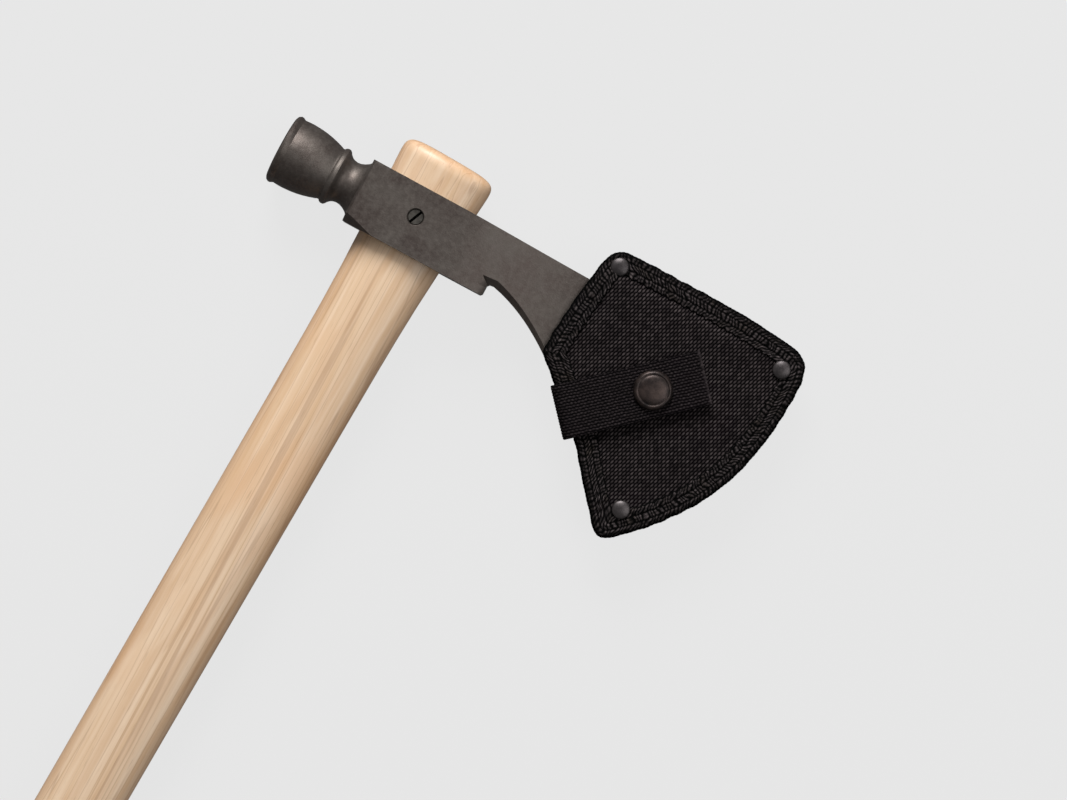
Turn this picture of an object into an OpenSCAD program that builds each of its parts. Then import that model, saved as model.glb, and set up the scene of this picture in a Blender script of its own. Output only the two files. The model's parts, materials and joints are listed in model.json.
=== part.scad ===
// Pipe-style hatchet with a slip-fit handle and a snap-strap blade sheath.
// It lies on its side: X runs from the bowl to the cutting edge, Y up the handle, Z off the floor.

/* [Head] */
// Thickness of the block that holds the eye
block_thick = 31; // [30:0.5:34]
// Height of the block, along the handle
block_tall = 27.5; // [25:0.5:30]
// Front of the block, where the neck starts
block_front = 38; // [36:0.5:40]
// Radius of the cutting edge
edge_radius = 55.6; // [54:0.2:58]
// Half thickness of the blade at the mouth of the sheath
blade_half = 4.2; // [3.8:0.1:4.6]
// Slope of each cheek of the blade, in degrees
wedge = 1.8; // [1.6:0.1:2]
// Half thickness left at the cutting edge
edge_land = 0.25; // [0.1:0.05:0.5]

/* [Bowl] */
// How far the bowl's axis lies above the middle of the head
bowl_rise = 0.75; // [0:0.25:1.5]
// Depth of the hollow in the bowl
bowl_depth = 23; // [15:1:24]

/* [Handle] */
// Length of the handle
handle_length = 559; // [480:1:620]
// Lean of the handle from square, in degrees
lean = 1.7; // [0:0.1:2.5]
// Gap all round between the handle and the eye
eye_gap = 0.15; // [0.1:0.05:0.3]

/* [Set screw] */
// Diameter of the set screw
screw_d = 6.35; // [5:0.05:7]
// Width of its slot
slot_w = 1.1; // [0.8:0.1:1.4]

/* [Sheath] */
// Thickness of each padded panel
panel_t = 1.8; // [1.6:0.1:2.2]
// Gap between a panel and the blade
panel_gap = 1.1; // [1:0.1:1.3]
// Thickness of the binding tape
tape_t = 0.7; // [0.5:0.1:0.8]
// Width of the binding tape on each face
tape_w = 9; // [8:0.5:10]
// Half the space between the panels along the top seam
seam_half = 1.8; // [1.5:0.1:2.2]
// Diameter of the rivet caps
rivet_d = 7.2; // [6:0.2:8]

/* [Strap] */
// Width of the strap
strap_w = 22.5; // [20:0.5:25]
// Thickness of the strap
strap_t = 1.6; // [1.2:0.1:2]
// Direction of the strap across the panel, in degrees
strap_angle = 41.8; // [40:0.2:44]
// Distance from the snap to the fold
snap_to_fold = 39.25; // [39:0.25:40]
// Distance from the snap to the free end
snap_to_end = 22; // [18:0.5:24]
// Diameter of the snap's cap
snap_d = 16; // [14:0.5:17]
// Gap between the front panel and the strap, filled by the snap
snap_gap = 2.6; // [2.4:0.1:3]

/* [Hidden] */

$fn = 48;
mid = block_thick / 2;
block_back = -25.5;
half_tall = block_tall / 2;
sheath_x = 72;             // where the blade's straight taper starts
rim_x = -61.5;
eye_x = 0.6;
screw_y = 1.3;
edge_centre = [101.3, -6.5];
toe = [153.4, 13.4];
heel = [118, -59.4];
sheath_top = 30.2;
sheath_right = 168.3;
handle_top = 29.4;

// The origin is the middle of the outline, on the floor.
centre_x = (rim_x + sheath_right) / 2;
butt_y = handle_top - handle_length;
centre_y = (sheath_top + butt_y) / 2;

// Positions of the three rivets and the snap on the sheath
rivet_mouth = [81.5, 23];
rivet_toe = [158.5, 17.5];
rivet_tip = [128.3, -62.8];
post_d = 2.8;
snap_at = [116.6, -14.4];

function bezier(p, n) = [for (i = [0:n]) let (t = i / n, u = 1 - t)
    u * u * u * p[0] + 3 * t * u * u * p[1] + 3 * t * t * u * p[2] + t * t * t * p[3]];

// Half thickness of the straight part of the blade at a distance along the head
function cheek(x) = blade_half - (x - sheath_x) * tan(wedge);

module place() translate([-centre_x, -centre_y, 0]) children();

// ---- Sweeps ----

// A closed solid through rings of equal length
module loft(rings) {
    n = len(rings[0]);
    last = len(rings) - 1;
    sides = [for (k = [0:last - 1], i = [0:n - 1])
        each [[k * n + i, k * n + (i + 1) % n, (k + 1) * n + i],
              [k * n + (i + 1) % n, (k + 1) * n + (i + 1) % n, (k + 1) * n + i]]];
    first_cap = [[for (i = [n - 1:-1:0]) i]];
    last_cap = [[for (i = [0:n - 1]) last * n + i]];
    polyhedron([for (r = rings) each r], concat(sides, first_cap, last_cap), convexity = 4);
}

// ---- Handle ----

oval_sides = 40;
oval_power = 2.2;

function spread(v) = sign(v) * pow(abs(v), 2 / oval_power);

// One oval ring of the handle: height, half width and half thickness
function oval(y, a, b) = [for (i = [0:oval_sides - 1]) let (t = i * 360 / oval_sides)
    [a * spread(cos(t)), y, b * spread(sin(t))]];

butt = butt_y / cos(lean);
handle_rings = [
    [butt, 12.8, 7.8], [butt + 0.9, 14.4, 9.2], [butt + 3, 15.6, 10.1], [butt + 8, 15.9, 10.3],
    [-90, 16.75, 10.5], [-60, 16.9, 10.5], [-45, 17.1, 10.5], [-30, 17.5, 10.6],
    [-half_tall, 18.3, 10.7], [half_tall, 19.6, 11.2],
    [20, 20, 11.7], [23.2, 20.1, 11.9], [26.4, 19.2, 11.2], [28.4, 17, 9.4], [29.4, 13.5, 6.6]];

module handle_frame() translate([eye_x, 0, mid]) rotate([0, 0, -lean]) children();

module handle() color([0.86, 0.73, 0.55]) place() handle_frame()
    loft([for (r = handle_rings) oval(r[0], r[1], r[2])]);

// The eye follows the same taper as the handle, a small gap larger.
module eye() {
    narrow = handle_rings[8];
    wide = handle_rings[9];
    slope = (wide - narrow) / block_tall;
    past = 6;
    low = narrow - past * slope;
    high = wide + past * slope;
    handle_frame() loft([
        oval(low[0], low[1] + eye_gap, low[2] + eye_gap),
        oval(high[0], high[1] + eye_gap, high[2] + eye_gap)]);
}

// ---- Head ----

under_neck = bezier([[40.5, -8.1], [56, -11.5], [68, -20], [78, -28]], 12);
beard = bezier([[78, -28], [88, -36], [102, -46], heel], 8);
toe_angle = atan2(toe.y - edge_centre.y, toe.x - edge_centre.x);
heel_angle = atan2(heel.y - edge_centre.y, heel.x - edge_centre.x);
edge_steps = 24;

function edge_point(i) = let (t = heel_angle + (toe_angle - heel_angle) * i / edge_steps)
    edge_centre + edge_radius * [cos(t), sin(t)];

side_outline = concat(
    [[block_back, -half_tall], [block_front - 0.8, -half_tall], [block_front, -half_tall + 0.8],
     [block_front, -9.2], [block_front + 0.8, -8.3]],
    under_neck,
    [for (i = [1:len(beard) - 1]) beard[i]],
    [for (i = [1:edge_steps]) edge_point(i)],
    [[100, 12.6], [72, 12.9], [50, 13.2], [20, 13.6], [block_back, half_tall]]);

// Thickness seen from above: square block, hollow shoulders, then the straight wedge
shoulder = bezier([[18, mid], [34, mid], [50, cheek(50)], [sheath_x + 4, cheek(sheath_x + 4)]], 14);
plan_half = concat([[block_back, mid - 0.8], [block_back + 0.9, mid]], shoulder,
    [[160, cheek(160)]]);
plan_outline = concat([for (p = plan_half) [p.x, mid + p.y]],
    [for (i = [len(plan_half) - 1:-1:0]) [plan_half[i].x, mid - plan_half[i].y]]);

// Outer and inner radii of the bowl, from the rim to the block
bowl_outside = [
    [-61.5, 13.2], [-61, 14.2], [-60, 14.8], [-59.2, 14.7], [-58, 14.1], [-56, 14.25], [-54, 14.3],
    [-50, 14.05], [-47.5, 13.7], [-45, 13.2], [-42.5, 12.55], [-40, 11.75], [-39.3, 11.4],
    [-38.6, 11.4], [-38.1, 12], [-37.3, 12.35], [-36.3, 12.3], [-35.6, 11.7], [-35, 10.8],
    [-34, 9.9], [-33, 9.4], [-31.5, 9.15], [-30, 9.35], [-28.5, 9.95], [-27, 10.9],
    [-26, 12], [-25.4, 13.2]];
bowl_bottom = rim_x + bowl_depth;
bowl_inside = concat([[rim_x - 1, 12.1], [rim_x + 0.8, 11.6]],
    bezier([[rim_x + 2.5, 11.2], [bowl_bottom - 8, 10.6], [bowl_bottom - 1, 8.6],
            [bowl_bottom, 4]], 8));

module bowl_frame() translate([0, bowl_rise, mid]) rotate([0, 90, 0]) children();

// A turned solid about the head's axis, from points of distance along it and radius
module turned(points, start, end) bowl_frame() rotate_extrude($fn = 96)
    polygon(concat([[0, start]], [for (p = points) [p.y, p.x]], [[0, end]]));

// The cone about the edge's centre that grinds both bevels of the cutting edge
grind = 0.145;
module edge_cone() {
    deep = edge_land + grind * edge_radius;
    translate([edge_centre.x, edge_centre.y, mid]) rotate_extrude($fn = 192)
        polygon([[0, -deep], [edge_radius + 1, -edge_land + grind],
                 [edge_radius + 1, edge_land - grind], [0, deep]]);
}

// Chamfer round the notch and along the underside of the neck, fading along the blade.
// Each station is a point of the outline, the direction into the steel, and the chamfer's width.
notch_run = [[[block_front, -half_tall - 1], [-1, 0], 1.6],
             [[block_front, -10.2], [-1, 0], 2],
             [[block_front + 0.1, -8.9], [-0.8, 0.6], 2.5]];
chamfer_run = [for (i = [0:len(under_neck) - 1]) let (
    p = under_neck[i],
    q = i < len(under_neck) - 1 ? under_neck[i + 1] : beard[1],
    d = (q - p) / norm(q - p))
    [p, [-d.y, d.x], 2.9 - 0.12 * i]];

function shoulder_half(x) = x < sheath_x ? lookup(x, [for (p = shoulder) [p.x, p.y]]) : cheek(x);

// One station of the cutter: a triangle standing across the outline
module chamfer_slice(station) {
    p = station[0];
    n = station[1];
    w = station[2];
    s = shoulder_half(p.x) - 0.75 * w;
    deep = p + n * (w + 8);
    shallow = p - n * 2;
    for (c = [[shallow.x, shallow.y, s - 1.5], [shallow.x, shallow.y, s + 8],
              [deep.x, deep.y, s + 0.75 * w + 6]])
        translate(c) cube(0.01);
}

module neck_chamfer() {
    runs = concat(notch_run, chamfer_run);
    for (i = [0:len(runs) - 2]) hull() {
        chamfer_slice(runs[i]);
        chamfer_slice(runs[i + 1]);
    }
}

module both_cheeks() {
    translate([0, 0, mid]) children();
    translate([0, 0, mid]) mirror([0, 0, 1]) children();
}

module head_body() {
    intersection() {
        linear_extrude(block_thick) polygon(side_outline);
        translate([0, 60, 0]) rotate([90, 0, 0]) linear_extrude(140) polygon(plan_outline);
        union() {
            translate([-30, -70, 0]) cube([30 + edge_centre.x, 100, block_thick]);
            edge_cone();
        }
    }
    turned(bowl_outside, rim_x, block_back + 0.1);
}

// Depth of the countersink round the set screw, and how far off the head's middle the screw ends
sink = 0.5;
screw_seat = 11.15;

// Facet that breaks the lower back corner of each cheek
facet_azimuth = -106;
facet_tilt = 56;
module corner_facet() translate([block_back, -9.9, mid]) rotate([0, facet_tilt, facet_azimuth])
    translate([-15, -15, 0]) cube([30, 30, 10]);

module head() color([0.16, 0.15, 0.14]) place() difference() {
    head_body();
    turned(bowl_inside, rim_x - 1, bowl_bottom);
    eye();
    translate([0, screw_y, mid]) {
        cylinder(d = screw_d + 0.1, h = mid + 1);
        translate([0, 0, mid - sink]) cylinder(d1 = screw_d + 0.1, d2 = screw_d + 1.1 + sink, h = 2 * sink);
    }
    both_cheeks() corner_facet();
    both_cheeks() neck_chamfer();
}

module set_screw() color([0.3, 0.3, 0.3]) place() translate([0, screw_y, mid]) difference() {
    rotate_extrude() polygon([[0, screw_seat], [1.8, screw_seat], [screw_d / 2, screw_seat + 0.8],
        [screw_d / 2, mid - 0.9], [screw_d / 2 - 0.3, mid - 0.6], [0, mid - 0.6]]);
    translate([0, 0, mid]) rotate([0, 0, 67]) cube([screw_d + 2, slot_w, 5.6], center = true);
}

// ---- Sheath ----

sheath_outline = concat(
    bezier([[70.4, -21.5], [70.2, -7], [72.4, 8], [74, 19.5]], 8),
    bezier([[74, 19.5], [75.2, 25.5], [77.5, 29.4], [83, 29.7]], 6),
    bezier([[83, 29.7], [105, 30.3], [135, 30.5], [156, 28]], 8),
    bezier([[156, 28], [165.5, 27], [168.6, 24], [sheath_right, 10]], 7),
    bezier([[sheath_right, 10], [168.3, -26], [157, -50], [132, -73]], 12),
    bezier([[132, -73], [127.5, -77.5], [123.5, -78], [119.5, -72]], 6),
    bezier([[119.5, -72], [113, -64.5], [106.3, -57], [100, -48.4]], 5),
    [[92, -41.3], [82.5, -32.9], [75, -26], [71.4, -22.9]]);

// The side of the outline that stays open, from the mouth to the tip
open_side = [[60, 40], [77.5, 40], [77.5, 22], [84, 15], [100, -30], [123.6, -64], [123.6, -90],
             [60, -90]];

// Half the space between the panels
function hollow(x) = cheek(x) + panel_gap;

// The sheath's body: everything within a distance of the panels' inner faces. The faces follow
// the blade's wedge, and above the blade they close in to the top seam.
layer_start = 60;
layer_end = 175;
ramp_start = 15.5;
ramp_end = 21.5;

function ramp(y) = lookup(y, [[ramp_start, hollow(layer_start)], [ramp_end, seam_half]]);

function half_space(p) = min(hollow(p.x), ramp(p.y));

module body(h) {
    a = hollow(layer_start) + h;
    b = hollow(layer_end) + h;
    seam = seam_half + h;
    intersection() {
        translate([0, 60, mid]) rotate([90, 0, 0]) linear_extrude(160) polygon([
            [layer_start, -a], [layer_end, -b], [layer_end, b], [layer_start, a]]);
        translate([0, 0, mid]) rotate([90, 0, 90]) linear_extrude(200) polygon([
            [-100, -a], [ramp_start, -a], [ramp_end, -seam], [50, -seam],
            [50, seam], [ramp_end, seam], [ramp_start, a], [-100, a]]);
    }
}

// Layer over the front cheek, between two distances outside the panel's inner face
module layer(low, high) difference() {
    intersection() {
        body(high);
        translate([0, -100, mid]) cube(200);
    }
    body(low);
}

// The same shape on the other side of the blade
module on_back() translate([0, 0, 2 * mid]) mirror([0, 0, 1]) children();

module outline_band(inner, outer) difference() {
    offset(delta = -outer) polygon(sheath_outline);
    offset(delta = -inner) polygon(sheath_outline);
}

module tall(h = 40) translate([0, 0, -4]) linear_extrude(h) children();

module at_rivets() for (p = [rivet_mouth, rivet_toe, rivet_tip]) translate([p.x, p.y, 0]) children();

module rivet_holes() at_rivets() translate([0, 0, -2]) cylinder(d = post_d + 0.2, h = 36);

// One face of the sheath, as the plane of its panel's outer side
module front_face(lift = 0) translate([0, 0, mid + hollow(0)]) rotate([0, wedge, 0])
    translate([0, 0, panel_t + lift]) children();

module back_face(lift = 0) on_back() front_face(lift) children();

// Everything on the blade's side of a plane lifted off the front panel
module front_side(lift) front_face(lift) translate([0, -100, -60]) cube([200, 200, 60]);

// The snap's axis stands square on the front face.
snap_x = snap_at.x / cos(wedge) - panel_t * tan(wedge);
module at_snap(lift = 0) front_face(lift) translate([snap_x, snap_at.y, 0]) children();

snap_hole = 3.6;
skin = panel_t + tape_t;

module panel() difference() {
    intersection() {
        tall() offset(delta = -tape_t) polygon(sheath_outline);
        layer(0, panel_t);
    }
    rivet_holes();
}

module sheath_front_panel() color([0.09, 0.09, 0.1]) place() difference() {
    panel();
    at_snap(-panel_t - 1) cylinder(d = snap_hole, h = panel_t + 2);
}

module sheath_back_panel() color([0.09, 0.09, 0.1]) place() on_back() panel();

module edge_welt() color([0.12, 0.12, 0.12]) place() difference() {
    intersection() {
        tall() difference() {
            outline_band(7.5, tape_t);
            polygon(open_side);
        }
        body(0);
    }
    rivet_holes();
}

module seam_binding() color([0.05, 0.05, 0.05]) place() difference() {
    intersection() {
        tall() difference() {
            outline_band(tape_w, 0);
            polygon(open_side);
        }
        body(skin);
    }
    intersection() {
        tall() offset(delta = -tape_t) polygon(sheath_outline);
        body(panel_t);
    }
    rivet_holes();
}

// Tape folded over the free edge of one panel
module mouth_binding() difference() {
    intersection() {
        tall() intersection() {
            outline_band(tape_w - 0.5, 0);
            polygon(open_side);
        }
        layer(-tape_t, skin);
    }
    intersection() {
        tall() offset(delta = -tape_t) polygon(sheath_outline);
        layer(0, panel_t);
    }
}

module front_mouth_binding() color([0.05, 0.05, 0.05]) place() mouth_binding();

module back_mouth_binding() color([0.05, 0.05, 0.05]) place() on_back() mouth_binding();

// ---- Rivets ----

module rivet_post(p) translate([p.x, p.y, mid]) cylinder(d = post_d, h = half_space(p) + skin);

module rivet_cap(p) color([0.07, 0.07, 0.07]) place() {
    rivet_post(p);
    intersection() {
        translate([p.x, p.y, mid + half_space(p) + skin - 0.3]) rotate_extrude() polygon([
            [0, 0], [rivet_d / 2, 0], [rivet_d / 2, 0.7], [3.4, 1.2],
            [2.9, 1.65], [2, 2.05], [1, 2.25], [0, 2.3]]);
        layer(skin, skin + 5);
    }
}

module rivet_back(p) color([0.07, 0.07, 0.07]) place() on_back() {
    rivet_post(p);
    intersection() {
        translate([p.x, p.y, mid + half_space(p) + skin - 0.3]) cylinder(d = rivet_d - 0.6, h = 1.1);
        layer(skin, skin + 5);
    }
}

module rivet_cap_mouth() rivet_cap(rivet_mouth);
module rivet_cap_toe() rivet_cap(rivet_toe);
module rivet_cap_tip() rivet_cap(rivet_tip);
module rivet_back_mouth() rivet_back(rivet_mouth);
module rivet_back_toe() rivet_back(rivet_toe);
module rivet_back_tip() rivet_back(rivet_tip);

// ---- Strap and snap ----

barrel_r = strap_t / 2;
anchor_run = 34;
joint_gap = 0.2;
flap_lift = snap_gap + barrel_r;
anchor_lift = tape_t + barrel_r;

// Strap frame: the origin lies on the fold, X runs toward the free end
module strap_frame() translate([snap_x, snap_at.y, 0]) rotate([0, 0, strap_angle])
    translate([-snap_to_fold, 0, 0]) children();

module barrel() rotate([90, 0, 0]) cylinder(r = barrel_r, h = strap_w, center = true);

module webbing(start, end) translate([start, -strap_w / 2, -barrel_r])
    cube([end - start, strap_w, strap_t]);

module strap_anchor() color([0.1, 0.1, 0.1]) place() back_face(anchor_lift) strap_frame()
    webbing(barrel_r + joint_gap, anchor_run);

module strap_bend() color([0.1, 0.1, 0.1]) place() {
    intersection() {
        tall() translate(snap_at) rotate(strap_angle) translate([-snap_to_fold - barrel_r, -strap_w / 2])
            square([strap_t, strap_w]);
        front_side(flap_lift - barrel_r - joint_gap);
        on_back() front_side(anchor_lift);
    }
    back_face(anchor_lift) strap_frame() barrel();
}

module strap_flap() color([0.1, 0.1, 0.1]) place() difference() {
    front_face(flap_lift) strap_frame() {
        webbing(0, snap_to_fold + snap_to_end);
        barrel();
    }
    at_snap() cylinder(d = snap_hole + 0.4, h = 10);
}

module snap_cap() color([0.08, 0.08, 0.08]) place() at_snap(snap_gap) {
    translate([0, 0, strap_t]) rotate_extrude($fn = 64) polygon([[0, 0], [7.4, 0], [snap_d / 2, 0.6],
        [snap_d / 2, 1.2], [7.3, 2.1], [6.4, 2.7], [5.6, 2.9], [5, 2.7], [0, 2.9]]);
    cylinder(d = snap_hole, h = strap_t);
}

socket_lift = 0.7;
socket_roof = 0.35;
module snap_socket() color([0.5, 0.5, 0.48]) place() difference() {
    at_snap(socket_lift) cylinder(d = 11.5, h = snap_gap - socket_lift);
    at_snap() cylinder(d = 7, h = snap_gap - socket_roof);
}

module snap_stud() color([0.5, 0.5, 0.48]) place() at_snap() {
    cylinder(d = 10, h = 0.5);
    rotate_extrude() polygon([[0, 0], [2.4, 0], [2.3, 0.7], [2.5, 1.2], [2.2, 1.7], [0, 2]]);
}

module snap_post() color([0.5, 0.5, 0.48]) place() at_snap(-panel_t) {
    translate([0, 0, -0.5]) cylinder(d = 8, h = 0.5);
    cylinder(d = snap_hole - 0.2, h = panel_t);
}

handle();
head();
set_screw();
sheath_front_panel();
sheath_back_panel();
edge_welt();
seam_binding();
front_mouth_binding();
back_mouth_binding();
rivet_cap_mouth();
rivet_cap_toe();
rivet_cap_tip();
rivet_back_mouth();
rivet_back_toe();
rivet_back_tip();
strap_anchor();
strap_bend();
strap_flap();
snap_cap();
snap_socket();
snap_stud();
snap_post();
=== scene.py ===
"""Looks of the pipe-style hatchet and its sheath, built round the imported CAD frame.

Shapes are worked out in millimetres in the head's own frame: x runs from the set screw toward the
cutting edge, y up the handle, and z is 0 in the middle of the blade.
"""

import json
import math

import bpy
import numpy as np
from mathutils import Matrix, Vector

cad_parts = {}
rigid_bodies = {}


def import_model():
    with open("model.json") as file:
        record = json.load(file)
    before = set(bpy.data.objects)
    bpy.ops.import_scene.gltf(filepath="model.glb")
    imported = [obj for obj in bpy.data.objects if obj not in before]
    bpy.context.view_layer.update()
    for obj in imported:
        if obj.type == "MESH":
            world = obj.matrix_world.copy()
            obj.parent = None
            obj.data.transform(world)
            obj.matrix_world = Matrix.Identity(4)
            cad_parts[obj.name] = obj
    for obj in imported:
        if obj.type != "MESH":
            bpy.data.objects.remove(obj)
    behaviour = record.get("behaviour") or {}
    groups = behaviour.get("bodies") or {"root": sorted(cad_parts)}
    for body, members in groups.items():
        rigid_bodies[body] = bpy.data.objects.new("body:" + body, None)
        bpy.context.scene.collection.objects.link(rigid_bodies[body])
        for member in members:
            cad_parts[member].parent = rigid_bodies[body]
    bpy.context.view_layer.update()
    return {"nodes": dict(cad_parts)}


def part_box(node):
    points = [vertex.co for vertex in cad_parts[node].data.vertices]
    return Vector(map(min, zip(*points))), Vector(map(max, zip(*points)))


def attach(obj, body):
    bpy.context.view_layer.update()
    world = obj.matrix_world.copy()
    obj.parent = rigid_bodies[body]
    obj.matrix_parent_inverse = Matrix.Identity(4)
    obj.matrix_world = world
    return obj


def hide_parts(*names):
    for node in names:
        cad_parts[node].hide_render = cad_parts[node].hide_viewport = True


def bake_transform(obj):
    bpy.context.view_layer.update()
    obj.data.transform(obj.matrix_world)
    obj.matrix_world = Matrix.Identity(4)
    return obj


for leftover in list(bpy.data.objects):
    bpy.data.objects.remove(leftover)

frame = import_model()
nodes = frame["nodes"]
for plain in list(bpy.data.materials):
    bpy.data.materials.remove(plain)

MM = 0.001
SCREW_Y = 1.3
screw_low, screw_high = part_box("set_screw")
head_low, head_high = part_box("head")
ORIGIN = np.array([
    (screw_low.x + screw_high.x) / 2,
    (screw_low.y + screw_high.y) / 2 - SCREW_Y * MM,
    (head_low.z + head_high.z) / 2,
])


def at(x, y, z=0.0):
    """A point of the head's frame, in metres in the row frame."""
    return Vector(ORIGIN) + Vector((x, y, z)) * MM


# ---- Mesh helpers ----


def bezier(points, count):
    """count + 1 points along one cubic curve."""
    p = np.array(points, float)
    t = np.linspace(0, 1, count + 1)[:, None]
    u = 1 - t
    return u**3 * p[0] + 3 * t * u**2 * p[1] + 3 * t**2 * u * p[2] + t**3 * p[3]


def ripple(x, y, size, seed):
    """A smooth, repeatable unevenness between -1 and 1, with waves about size long."""
    pick = np.random.default_rng(seed)
    total = np.zeros(np.broadcast(x, y).shape)
    for _ in range(6):
        angle = pick.uniform(0, 2 * math.pi)
        length = size * pick.uniform(0.7, 1.6)
        phase = pick.uniform(0, 2 * math.pi)
        total += np.sin((x * math.cos(angle) + y * math.sin(angle)) * 2 * math.pi / length + phase)
    return total / 6


def make(name, points, faces, material, body=None, stands_for=(), uv=None, relief=None):
    """One smooth-shaded mesh piece from points in the head's frame.

    uv runs along the cloth in millimetres. relief is 0 in the gaps of the weave and 1 on its crowns; on
    wood it is how far the surface is tinted darker orange: end grain at the ends, painted shade on the
    flanks.
    """
    mesh = bpy.data.meshes.new(name)
    mesh.from_pydata((ORIGIN + MM * np.asarray(points, float)).tolist(), [], faces)
    mesh.shade_smooth()
    if relief is not None:
        height = mesh.attributes.new("Relief", "FLOAT", "POINT")
        height.data.foreach_set("value", np.asarray(relief, np.float32).ravel())
    if uv is not None:
        corners = np.empty(len(mesh.loops), np.int32)
        mesh.loops.foreach_get("vertex_index", corners)
        layer = mesh.uv_layers.new(name="Cloth")
        layer.data.foreach_set("uv", np.asarray(uv, np.float32)[corners].ravel())
    piece = bpy.data.objects.new(name, mesh)
    bpy.context.scene.collection.objects.link(piece)
    piece.data.materials.append(material)
    if body:
        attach(piece, body)
    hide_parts(*stands_for)
    return piece


def grid_faces(rows, columns):
    """Quads between neighbours of a stack of closed rings stored one after another."""
    r = np.arange(rows - 1)[:, None]
    c = np.arange(columns)[None, :]
    r2, c2 = r + 1, (c + 1) % columns
    quads = np.stack(np.broadcast_arrays(
        r * columns + c, r * columns + c2, r2 * columns + c2, r2 * columns + c), axis=-1)
    return quads.reshape(-1, 4).tolist()


def tube(rings):
    """Faces of a closed solid through rings of equal length, with both ends capped."""
    rows, columns = len(rings), len(rings[0])
    faces = grid_faces(rows, columns)
    faces.append(list(range(columns))[::-1])
    faces.append([(rows - 1) * columns + i for i in range(columns)])
    return faces


def lathe(profile, sides):
    """Points and faces turned about z from (radius, height) stations; the ends lie on the axis."""
    stations = np.array(profile, float)
    turn = np.linspace(0, 2 * math.pi, sides, endpoint=False)
    rings = [np.stack([r * np.cos(turn), r * np.sin(turn), np.full(sides, z)], 1)
             for r, z in stations[1:-1]]
    points = np.concatenate([*rings, [[0, 0, stations[0][1]], [0, 0, stations[-1][1]]]])
    faces = grid_faces(len(rings), sides)
    first, last = len(points) - 2, len(points) - 1
    top = (len(rings) - 1) * sides
    for i in range(sides):
        j = (i + 1) % sides
        faces.append([first, j, i])
        faces.append([top + i, top + j, last])
    return points, faces


def smooth_line(points, step):
    """The same line with its corners rounded by a Catmull-Rom curve, at roughly even steps."""
    p = np.array(points, float)
    p = np.concatenate([[2 * p[0] - p[1]], p, [2 * p[-1] - p[-2]]])
    made = []
    for a, b, c, d in zip(p[:-3], p[1:-2], p[2:-1], p[3:]):
        count = max(2, int(np.linalg.norm(c - b) / step))
        t = np.linspace(0, 1, count, endpoint=False)[:, None]
        made.append(0.5 * (2 * b + (c - a) * t + (2 * a - 5 * b + 4 * c - d) * t**2
                           + (3 * b - a - 3 * c + d) * t**3))
    return np.concatenate([*made, [p[-2]]])


# ---- Material helpers ----


def colour(red, green, blue):
    """A linear colour from 0-255 screen values."""
    linear = [c / 255 / 12.92 if c < 10 else ((c / 255 + 0.055) / 1.055) ** 2.4
              for c in (red, green, blue)]
    return (*linear, 1.0)


class Shader:
    """A node material round one Principled shader."""

    def __init__(self, name, **sockets):
        """Keyword names are the shader's sockets, with underscores for spaces."""
        self.material = bpy.data.materials.new(name)
        self.material.use_nodes = True
        self.tree = self.material.node_tree
        self.main = self.tree.nodes["Principled BSDF"]
        for socket, value in sockets.items():
            self.feed(self.main.inputs[socket.replace("_", " ")], value)

    def feed(self, socket, value):
        """Links a node's output to a socket, or sets a plain value on it."""
        if isinstance(value, bpy.types.NodeSocket):
            self.tree.links.new(value, socket)
        else:
            socket.default_value = value

    def set(self, socket, value):
        self.feed(self.main.inputs[socket], value)

    def node(self, kind, inputs, output=0, **settings):
        """Adds a node with its settings and inputs, and returns one of its outputs."""
        made = self.tree.nodes.new("ShaderNode" + kind)
        for name, value in settings.items():
            setattr(made, name, value)
        for name, value in inputs.items():
            self.feed(made.inputs[name], value)
        return made.outputs[output]

    def place(self, scale=(1, 1, 1), turn=(0, 0, 0), shift=(0, 0, 0)):
        """Coordinates fixed to the piece, in metres before scaling."""
        source = self.node("TexCoord", {}, output="Object")
        return self.node("Mapping", {
            "Vector": source, "Scale": scale, "Rotation": turn, "Location": shift})

    def cloth(self, scale=(1, 1, 1)):
        """Coordinates along the weave, in millimetres before scaling."""
        source = self.node("UVMap", {}, uv_map="Cloth")
        return self.node("Mapping", {"Vector": source, "Scale": scale})

    def relief(self):
        return self.node("Attribute", {}, output="Fac", attribute_name="Relief")

    def noise(self, vector, scale, detail=4.0, rough=0.55, distortion=0.0):
        return self.node("TexNoise", {
            "Vector": vector, "Scale": scale, "Detail": detail, "Roughness": rough,
            "Distortion": distortion})

    def ramp(self, value, *stops):
        """A colour ramp through (position, shade) stops."""
        made = self.tree.nodes.new("ShaderNodeValToRGB")
        self.feed(made.inputs[0], value)
        steps = made.color_ramp.elements
        while len(steps) < len(stops):
            steps.new(0.5)
        for step, (position, shade) in zip(steps, stops):
            step.position = position
            step.color = shade if isinstance(shade, tuple) else (shade, shade, shade, 1)
        return made.outputs[0]

    def mix(self, factor, a, b):
        made = self.tree.nodes.new("ShaderNodeMix")
        made.data_type = "RGBA"
        self.feed(made.inputs[0], factor)
        self.feed(made.inputs[6], a)
        self.feed(made.inputs[7], b)
        return made.outputs[2]

    def math(self, operation, a, b=0.0):
        return self.node("Math", {0: a, 1: b}, operation=operation)

    def bump(self, height, distance, strength=1.0):
        self.set("Normal", self.node("Bump", {
            "Height": height, "Distance": distance * MM, "Strength": strength}))


# ---- Materials ----

LEAN = math.radians(1.7)


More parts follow.
